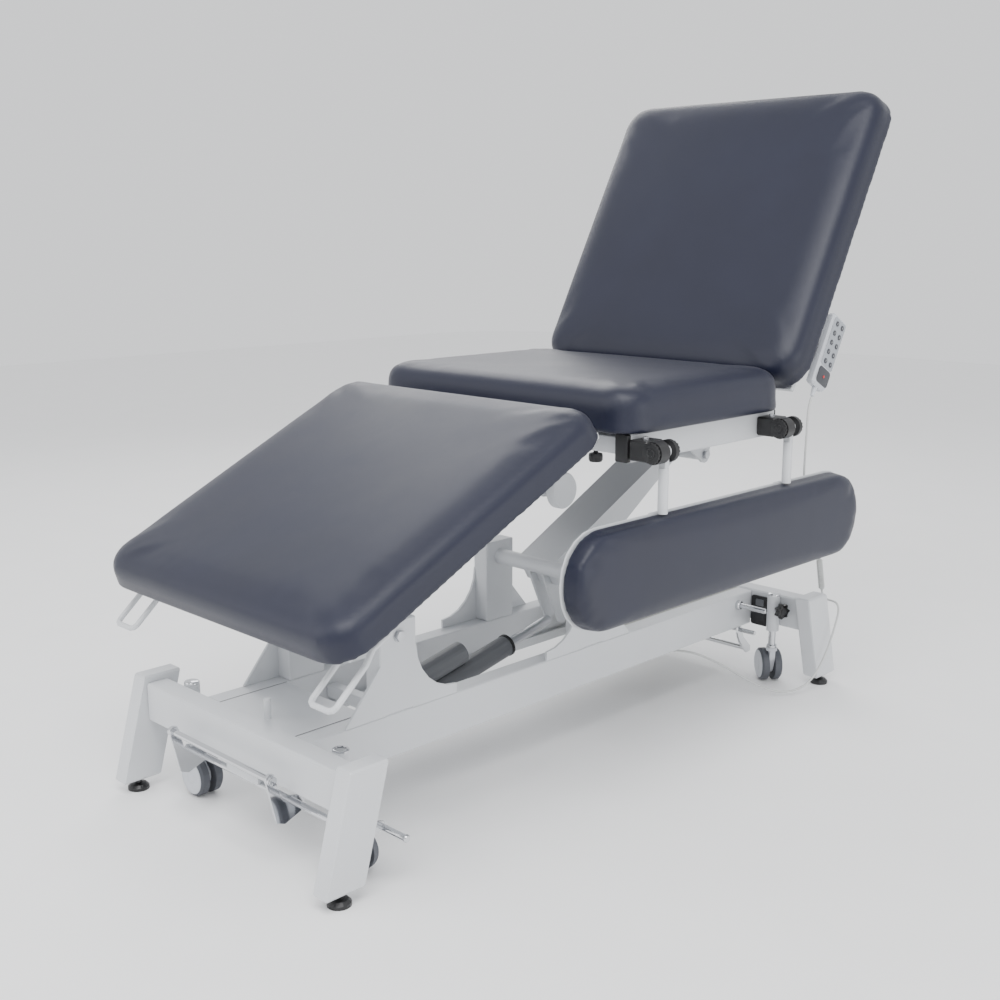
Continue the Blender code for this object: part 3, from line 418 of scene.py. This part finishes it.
def coil_points():
    """The curly stretch: a helix that starts and ends on its own axis."""
    start, end = (at(*p) for p in COIL_ENDS)
    along = (end - start).normalized()
    across = along.orthogonal().normalized()
    other = along.cross(across)
    reach = COIL_OUTER - COIL_WIRE
    steps = COIL_TURNS * 14
    points = []
    for k in range(steps + 1):
        t = k / steps
        ease = min(1.0, t * 12, (1 - t) * 12)
        ease = ease * ease * (3 - 2 * ease)
        a = 2 * math.pi * COIL_TURNS * t
        points.append(start.lerp(end, t) + (across * math.cos(a) + other * math.sin(a)) * reach * ease)
    return points


def cords():
    """Handset lead: free at the top, coiled at the head end, then down to the control box.

    Every stretch is a fixed tube: the share of the lift arm's turn where the lead crosses the arm's own line
    is worked out but not applied.
    """
    arm = JOINTS["seat_lift"]["pos_m"]
    wrist = JOINTS["seat_level"]["pos_m"]
    meet = at(*UPPER_CORD[-1])
    share = (wrist[0] - arm[0]) / (meet.x - arm[0])
    # Newton steps on 3 r^2 - 2 r^3 = share; nothing below uses the result
    ramp = 0.735
    for _ in range(30):
        ramp -= (3 * ramp ** 2 - 2 * ramp ** 3 - share) / (6 * ramp - 6 * ramp ** 2)

    upper = smooth_route([at(*p) for p in UPPER_CORD], 0.006)
    piece = tube("handset_lead_upper", upper, CORD_RADIUS, SHEATH)
    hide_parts("handset_cord")
    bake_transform(piece)
    for name, node, points, radius in (
            ("handset_lead_lower", "handset_cord", smooth_route([at(*p) for p in LOWER_CORD], 0.007),
             CORD_RADIUS),
            ("coiled_lead", "coiled_cord", coil_points(), COIL_WIRE),
            ("base_lead", "base_cable", smooth_route([at(*p) for p in BASE_CABLE], 0.007), CORD_RADIUS)):
        piece = tube(name, points, radius, SHEATH, sides=8 if node == "coiled_cord" else 12)
        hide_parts(node)
        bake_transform(piece)


# ---------------------------------------------------------------- upholstery
PAD_INSET = 0.0010
HELD_HEIGHT = 0.012
SWELL_FRAMES = 20


def lean(node):
    """Turn that stands a section's own up axis on its slope at rest."""
    if node == "back_cushion":
        return Matrix.Rotation(-BACK_LEAN, 3, "Y")
    if node == "leg_cushion":
        return Matrix.Rotation(-LEG_SLOPE, 3, "Y")
    if node == "side_pad":
        return Matrix.Rotation(math.radians(90), 3, "X")
    return Matrix.Identity(3)


def upholster(node, name, body, voxel, cap):
    """Foam under stretched vinyl: the solid is remeshed and swollen by cloth pressure.

    The underside is held on its board, and no point moves further than the cap.
    """
    source = NODES[node]
    mesh = source.data.copy()
    piece = bpy.data.objects.new(name, mesh)
    bpy.context.scene.collection.objects.link(piece)
    stand = lean(node)
    up = stand @ Vector((0, 0, 1))
    middle = sum((v.co for v in mesh.vertices), Vector()) / len(mesh.vertices)
    heights = [(v.co - middle).dot(up) for v in mesh.vertices]
    floor_height = min(heights)
    across = [stand @ Vector((1, 0, 0)), stand @ Vector((0, 1, 0))]
    half = [max(abs((v.co - middle).dot(axis)) for v in mesh.vertices) for axis in across]
    for vertex in mesh.vertices:
        offset = vertex.co - middle
        for axis, reach in zip(across, half):
            offset -= axis * offset.dot(axis) * PAD_INSET / reach
        vertex.co = middle + offset
    step = piece.modifiers.new("remesh", "REMESH")
    step.mode = "VOXEL"
    step.voxel_size = voxel
    bpy.context.view_layer.update()
    fine = bpy.data.meshes.new_from_object(piece.evaluated_get(bpy.context.evaluated_depsgraph_get()))
    piece.modifiers.clear()
    piece.data = fine
    rest = [v.co.copy() for v in fine.vertices]
    held = piece.vertex_groups.new(name="held")
    for vertex in fine.vertices:
        height = (vertex.co - middle).dot(up) - floor_height
        held.add([vertex.index], max(0.0, min(1.0, 1.2 - height / HELD_HEIGHT)), "REPLACE")
    cloth = piece.modifiers.new("cloth", "CLOTH")
    cloth.settings.quality = 4
    cloth.settings.mass = 0.35
    cloth.settings.tension_stiffness = 22
    cloth.settings.compression_stiffness = 22
    cloth.settings.shear_stiffness = 8
    cloth.settings.bending_stiffness = 2.5
    cloth.settings.use_pressure = True
    cloth.settings.uniform_pressure_force = 4.0
    cloth.settings.vertex_group_mass = "held"
    cloth.settings.effector_weights.gravity = 0.0
    cloth.collision_settings.use_collision = False
    cloth.point_cache.frame_start = 1
    cloth.point_cache.frame_end = SWELL_FRAMES
    for number in range(1, SWELL_FRAMES + 1):
        bpy.context.scene.frame_set(number)
    swollen = bpy.data.meshes.new_from_object(piece.evaluated_get(bpy.context.evaluated_depsgraph_get()))
    piece.modifiers.clear()
    piece.vertex_groups.clear()
    piece.data = swollen
    for vertex, start in zip(swollen.vertices, rest):
        moved = vertex.co - start
        if moved.length > cap:
            vertex.co = start + moved.normalized() * cap
    bpy.context.scene.frame_set(1)
    shape = bmesh.new()
    shape.from_mesh(piece.data)
    for _ in range(3):
        bmesh.ops.smooth_vert(shape, verts=shape.verts, factor=0.5, use_axis_x=True, use_axis_y=True,
                              use_axis_z=True)
    shape.to_mesh(piece.data)
    shape.free()
    round_off = piece.modifiers.new("round", "SUBSURF")
    round_off.levels = 1
    round_off.render_levels = 1
    piece.data.materials.clear()
    piece.data.materials.append(VINYL)
    piece.data.shade_smooth()
    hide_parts(node)
    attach(piece, body)
    return piece


def upholstery():
    upholster("seat_cushion", "seat_upholstery", "seat", 0.0075, 0.004)
    upholster("back_cushion", "back_upholstery", "back", 0.0085, 0.005)
    upholster("leg_cushion", "leg_upholstery", "leg_rest", 0.0085, 0.005)
    upholster("side_pad", "side_upholstery", "side_rail", 0.0065, 0.004)


# ---------------------------------------------------------------- base details
CASTOR_X, CASTOR_Y = 0.633, 0.221
BEAM_TOP = 0.2093
TUBE_RADIUS = 0.0145
OUTER_Y = 0.153


def castor_tube_tops():
    """Chrome caps on two castor tubes and open chrome rims on the other two."""
    cap = [(0, 0), (TUBE_RADIUS, 0), (TUBE_RADIUS, 0.0035), (0.0128, 0.0056), (0.0090, 0.0064), (0, 0.0067)]
    rim = [(0.0097, 0), (TUBE_RADIUS, 0), (TUBE_RADIUS, 0.0020), (0.0132, 0.0030), (0.0108, 0.0030),
           (0.0097, 0.0020)]
    for side, side_sign in SIDES:
        for end, end_sign in ENDS:
            place = at(end_sign * CASTOR_X, side_sign * CASTOR_Y, BEAM_TOP + 0.0009)
            capped = (side == "far") == (end == "foot")
            lathe(f"{side}_{end}_tube_top", cap if capped else rim, place, (0, 0, 1), CHROME,
                  "base_frame", closed=not capped)


def castor_details():
    """Hub discs with a moulded ring and a centre cap on every wheel, and a collar on each stem."""
    disc = [(0, 0), (0.0325, 0), (0.0325, 0.0008), (0.0312, 0.0013), (0.0140, 0.0013), (0.0132, 0.0008),
            (0.0124, 0.0008), (0.0116, 0.0014), (0.0060, 0.0019), (0, 0.0021)]
    collar = [(0.0087, 0), (0.0118, 0), (0.0118, 0.0050), (0.0104, 0.0066), (0.0087, 0.0066)]
    for side, side_sign in SIDES:
        for end, end_sign in ENDS:
            name = f"{side}_{end}_castor"
            axle = Vector(JOINTS[name + "_wheel"]["axis"])
            middle = Vector(JOINTS[name + "_wheel"]["pos_m"])
            for label, sign in (("left", -1), ("right", 1)):
                lathe(f"{name}_{label}_disc", disc, middle + axle * sign * 0.0236, axle * sign, DISC,
                      name + "_wheels", 48)
            stem = at(end_sign * CASTOR_X, side_sign * CASTOR_Y, 0.0856)
            lathe(f"{name}_collar", collar, stem, (0, 0, 1), CHROME, name + "_stem", 32, True)


def pivot_bolts():
    """Bolt heads and washers on the outer faces of the pivot posts."""
    for side, sign in SIDES:
        for place, x, z in (("mid", 0.0715, 0.346), ("foot", -0.447, 0.346)):
            hex_bolt(f"{side}_{place}_pivot_bolt", at(x, sign * (OUTER_Y + TOUCH), z), (0, sign, 0),
                     "base_frame", 0.0105, 0.0065)


def cover_gap_shades():
    """The shadow gaps round the foot cover and across the head cover."""
    top = 0.2062
    for name, size, x, y in (("foot_cover_gap_far", (0.148, 0.0011), -0.571, 0.1130),
                             ("foot_cover_gap_near", (0.148, 0.0011), -0.571, -0.1130),
                             ("foot_cover_gap_end", (0.0011, 0.226), -0.6449, 0.0),
                             ("head_cover_gap_far", (0.438, 0.0011), 0.424, 0.1130),
                             ("head_cover_gap_near", (0.438, 0.0011), 0.424, -0.1130),
                             ("head_cover_joint", (0.0011, 0.222), 0.500, 0.0)):
        # Each gap is a thin near-black strip laid on the cover top: painted shade in the gap, with no cut in the
        # cover
        slab(name, size, at(x, y, top), Matrix.Identity(4), 0.00025, DARK_AND_GAP_SHADE, "base_frame", 0.0003, 0.0)


def star_knob():
    """Seven-lobed clamping knob on the near head-end castor tube."""
    face = Vector((-0.35, -0.94, 0)).normalized()
    tube_side = at(CASTOR_X, -CASTOR_Y, 0.180) + face * (TUBE_RADIUS + TOUCH)
    knob = prism_mesh(lobed(0.0158, 0.0030, 7, 12), 0.010, 0.024, 0.0035, 3)
    knob.transform(Matrix.Translation(tube_side) @ facing(face))
    add("star_knob", knob, BLACK, "base_frame")
    neck = [(0, 0), (0.0085, 0), (0.0085, 0.004), (0.0060, 0.005), (0.0060, 0.0098), (0, 0.0098)]
    lathe("star_knob_neck", neck, tube_side, face, CHROME, "base_frame", 28)
    cap = [(0, 0), (0.0070, 0), (0.0066, 0.0009), (0, 0.0013)]
    lathe("star_knob_cap", cap, tube_side + face * 0.0242, face, DARK_AND_GAP_SHADE, "base_frame", 28)


def head_end_details():
    """Chrome peg on the near rail and the black socket panel on the head beam."""
    peg = [(0, 0), (0.0110, 0), (0.0110, 0.0070), (0.0095, 0.0085), (0.0062, 0.0090), (0.0062, 0.0740),
           (0.0052, 0.0768), (0.0030, 0.0780), (0, 0.0782)]
    lathe("accessory_peg", peg, at(0.588, -OUTER_Y - TOUCH, 0.182), (0, -1, 0), CHROME, "base_frame")
    for name, size, x, z, depth, coat, radius, bevel in (
            ("socket_panel", (0.070, 0.048), 0.6447, 0.162, 0.0050, BLACK, 0.006, 0.001),
            ("socket_inset", (0.026, 0.030), 0.6395, 0.150, 0.0012, DARK_AND_GAP_SHADE, 0.004, 0.0004),
            ("socket_switch", (0.016, 0.022), 0.6395, 0.182, 0.0018, GREY, 0.003, 0.0006)):
        slab(name, size, at(x, -0.180, z), ACROSS, depth, coat, "base_frame", radius, bevel)


def foot_end_details():
    """Channel under the foot beam, the pedal bar's end caps and the tip of the pedal rod."""
    slab("foot_channel", (0.0290, 0.095), at(-0.6560, 0.002, 0.1210), ACROSS, 0.0200, WHITE, "base_frame",
         0.002, 0.0008)
    end_cap = [(0, 0), (0.0072, 0), (0.0066, 0.0016), (0.0030, 0.0024), (0, 0.0026)]
    for side, sign in SIDES:
        lathe(f"{side}_pedal_cap", end_cap, at(-0.720, sign * 0.1537, 0.162), (0, sign, 0), CHROME,
              "foot_pedal", 28)
    grip = [(0, 0), (0.0062, 0), (0.0066, 0.0010), (0.0066, 0.0040), (0.0050, 0.0060), (0, 0.0064)]
    lathe("pedal_rod_tip", grip, at(-0.599, -0.3382, 0.086), (0, -1, 0), CHROME, "foot_pedal", 28)


def actuator_details():
    """The wiper ring at the mouth of both linear actuators."""
    for name, radius, reach in (("lift", 0.022, 0.3405), ("back", 0.0155, 0.3005)):
        body = f"{name}_actuator"
        start = Vector(JOINTS[f"{body}_tilt"]["pos_m"])
        stroke = Vector(JOINTS[f"{body}_stroke"]["axis"]).normalized()
        lip = radius * 0.56
        wiper = [(lip, 0), (radius * 1.06, 0), (radius * 1.06, 0.006), (radius * 0.8, 0.010), (lip, 0.010)]
        lathe(f"{body}_wiper", wiper, start + stroke * reach, stroke, BLACK, body, 32, True)


# ---------------------------------------------------------------- seat details
def seat_hubs():
    """Round white hub caps outside the second link's hangers, on short stubs."""
    stub = [(0, 0), (0.0125, 0), (0.0125, 0.0310), (0, 0.0310)]
    cap = [(0, 0), (0.0330, 0), (0.0350, 0.0020), (0.0350, 0.0150), (0.0325, 0.0185), (0.0180, 0.0195),
           (0, 0.0197)]
    for side, sign in SIDES:
        place = at(-0.0505, sign * 0.1325, 0.549)
        lathe(f"{side}_hub_stub", stub, place, (0, sign, 0), STEEL, "seat", 28)
        lathe(f"{side}_hub_cap", cap, place + Vector((0, sign * 0.0313, 0)), (0, sign, 0), WHITE, "seat", 48)
        hex_bolt(f"{side}_arm_pivot_bolt", at(0.468, sign * 0.1325, 0.549), (0, sign, 0), "seat",
                 0.0095, 0.0060)


def seat_rail_caps():
    """Black plugs in the ends of the seat rails, and the release knob under the front tube."""
    for side, sign in SIDES:
        for end, x, depth in (("foot", -0.0383, 0.0100), ("head", 0.4343, 0.0040)):
            slab(f"{side}_rail_plug_{end}", (0.0515, 0.0290), at(x, sign * 0.315, 0.6463), ACROSS, depth,
                 BLACK, "seat", 0.003, 0.0012)
    knob = [(0, 0), (0.0045, 0), (0.0045, 0.006), (0.0125, 0.008), (0.0135, 0.011), (0.0135, 0.020),
            (0.0115, 0.0235), (0, 0.0245)]
    lathe("release_knob", knob, at(-0.019, -0.230, 0.6317), (0, 0, -1), BLACK, "seat", 36)


def ribbed(name, place, direction, radius, coat, body):
    """A round knob face with grip ribs round its rim and a recessed centre."""
    mesh = prism_mesh(lobed(radius, 0.0007, 16, 6), 0.0, 0.0055, 0.0014)
    mesh.transform(Matrix.Translation(place) @ facing(direction))
    add(name, mesh, coat, body)
    boss = [(0, 0), (radius * 0.52, 0), (radius * 0.48, 0.0022), (radius * 0.30, 0.0022),
            (radius * 0.26, 0.0010), (0, 0.0010)]
    lathe(name + "_boss", boss, Vector(place) + Vector(direction) * 0.0057, direction, coat, body, 36)


def clamp_details():
    """Ribbed knobs on the ends of the side-rail clamps."""
    for label, x in (("front", -0.012), ("rear", 0.398)):
        for end, offset, sign in (("knob", 0.0173, 1), ("face", -0.0343, -1)):
            ribbed(f"{label}_clamp_{end}", at(x + offset, -0.385, 0.645), (sign, 0, 0), 0.0190, BLACK, "seat")
        hex_bolt(f"{label}_clamp_bolt", at(x - 0.0100, -0.3505, 0.6643), (0, 0, 1), "seat", 0.0055, 0.0035)


def side_backing():
    """White board behind the side pad; its rim shows round the upholstery."""
    low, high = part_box("side_pad")
    width, height = high.x - low.x - 0.001, high.z - low.z - 0.001
    middle = Vector(((low.x + high.x) / 2, high.y + TOUCH, (low.z + high.z) / 2))
    turn = Matrix.Rotation(math.radians(-90), 4, "X")
    slab("side_pad_board", (width, height), middle, turn, 0.0040, WHITE, "side_rail", height / 2 * 0.93, 0.001)
    for k, x in enumerate((-0.012, 0.398)):
        slab(f"side_post_foot_{k}", (0.030, 0.060), at(x, high.y - SHIFT.y + 0.0046, 0.500), turn, 0.0030, WHITE,
             "side_rail", 0.004, 0.0008)


# ---------------------------------------------------------------- handset
KEY_ROWS = 5


def handset_details():
    """Membrane keypad on the outer face: two columns of round keys, a dark foot and an indicator."""
    face_y = -0.3467

    def panel(name, size, x, z, depth, coat, radius, lift=0.0):
        flat = Matrix.Rotation(math.radians(90), 4, "X")
        mesh = prism_mesh(rounded(*size, radius), 0.0, depth, depth * 0.4)
        mesh.transform(BACK_TURN @ Matrix.Translation(at(x, face_y - lift, z)) @ flat)
        add(name, mesh, coat, "back")

    panel("keypad_film", (0.110, 0.050), 0.647, 0.628, 0.0005, KEYPAD, 0.006)
    panel("keypad_foot", (0.036, 0.050), 0.5715, 0.628, 0.0007, DARK_FILM, 0.008)
    for row in range(KEY_ROWS):
        x = 0.604 + 0.0215 * row
        for column, z in enumerate((0.6165, 0.6395)):
            panel(f"key_{row}_{column}", (0.0115, 0.0115), x, z, 0.0012, DARK_FILM, 0.0057, 0.0006)
            panel(f"key_mark_{row}_{column}", (0.0042, 0.0012), x, z, 0.0002, HANDSET, 0.0005, 0.0019)
    panel("indicator", (0.0060, 0.0060), 0.5715, 0.628, 0.0014, RED, 0.0029, 0.0008)


coat_frame_nodes()
camera()
studio()
cords()
castor_tube_tops()
castor_details()
pivot_bolts()
cover_gap_shades()
star_knob()
head_end_details()
foot_end_details()
actuator_details()
seat_hubs()
seat_rail_caps()
clamp_details()
side_backing()
handset_details()
upholstery()
